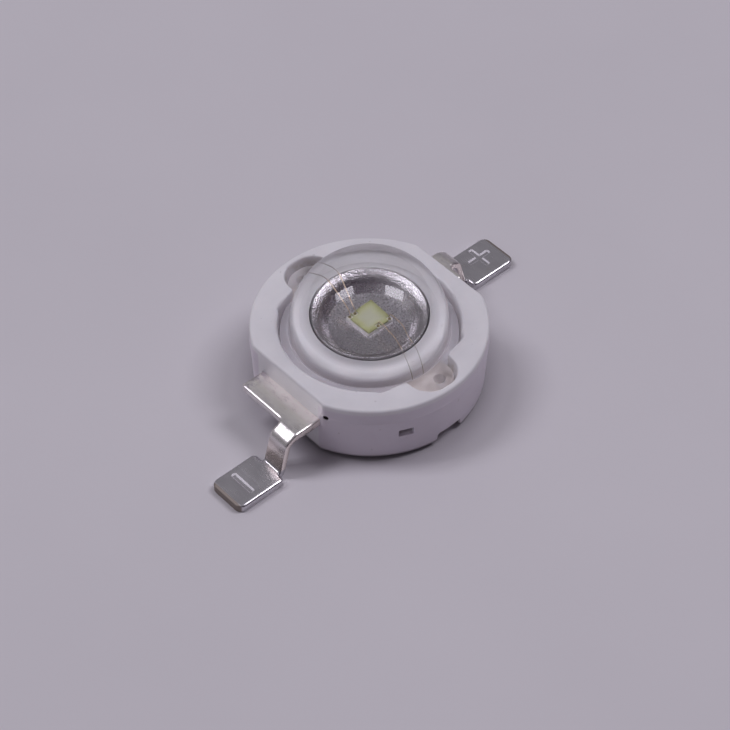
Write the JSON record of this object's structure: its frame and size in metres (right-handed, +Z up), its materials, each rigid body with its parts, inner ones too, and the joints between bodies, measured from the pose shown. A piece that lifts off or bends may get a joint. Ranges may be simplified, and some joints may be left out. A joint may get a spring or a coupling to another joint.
{
  "type": "high power led",
  "caption": "Round surface-mount light emitter: white moulded ring, clear dome over a silver cup with a small chip, bent flat leads on two sides, heat slug underneath.",
  "frame": {"origin": "centre of the heat slug's thermal face, on the board surface", "axes": "+X along the leads towards the anode foot, +Z up out of the dome, +Y completes the right-handed set"},
  "size_m": [0.0144, 0.008, 0.005],
  "materials": {
    "white_plastic": "white moulded high-temperature nylon, matte",
    "clear_lens": "clear moulded polycarbonate, polished",
    "silver_plate": "silver-plated copper, satin on the leads and bright in the cup",
    "silver_epoxy": "silver-filled epoxy",
    "chip": "sapphire chip",
    "phosphor": "greenish-yellow phosphor in silicone",
    "silicone": "clear silicone gel",
    "gold_wire": "drawn gold wire"
  },
  "bodies": {
    "root": {"housing": "white_plastic", "lens": "clear_lens", "heat_slug": "silver_plate", "cathode_lead": "silver_plate", "anode_lead": "silver_plate", "die_attach": "silver_epoxy", "led_die": "chip", "phosphor_layer": "phosphor", "silicone_encapsulant": "silicone", "bond_wire_1": "gold_wire", "bond_wire_2": "gold_wire", "bond_wire_3": "gold_wire", "bond_wire_4": "gold_wire"}
  },
  "joints": []
}
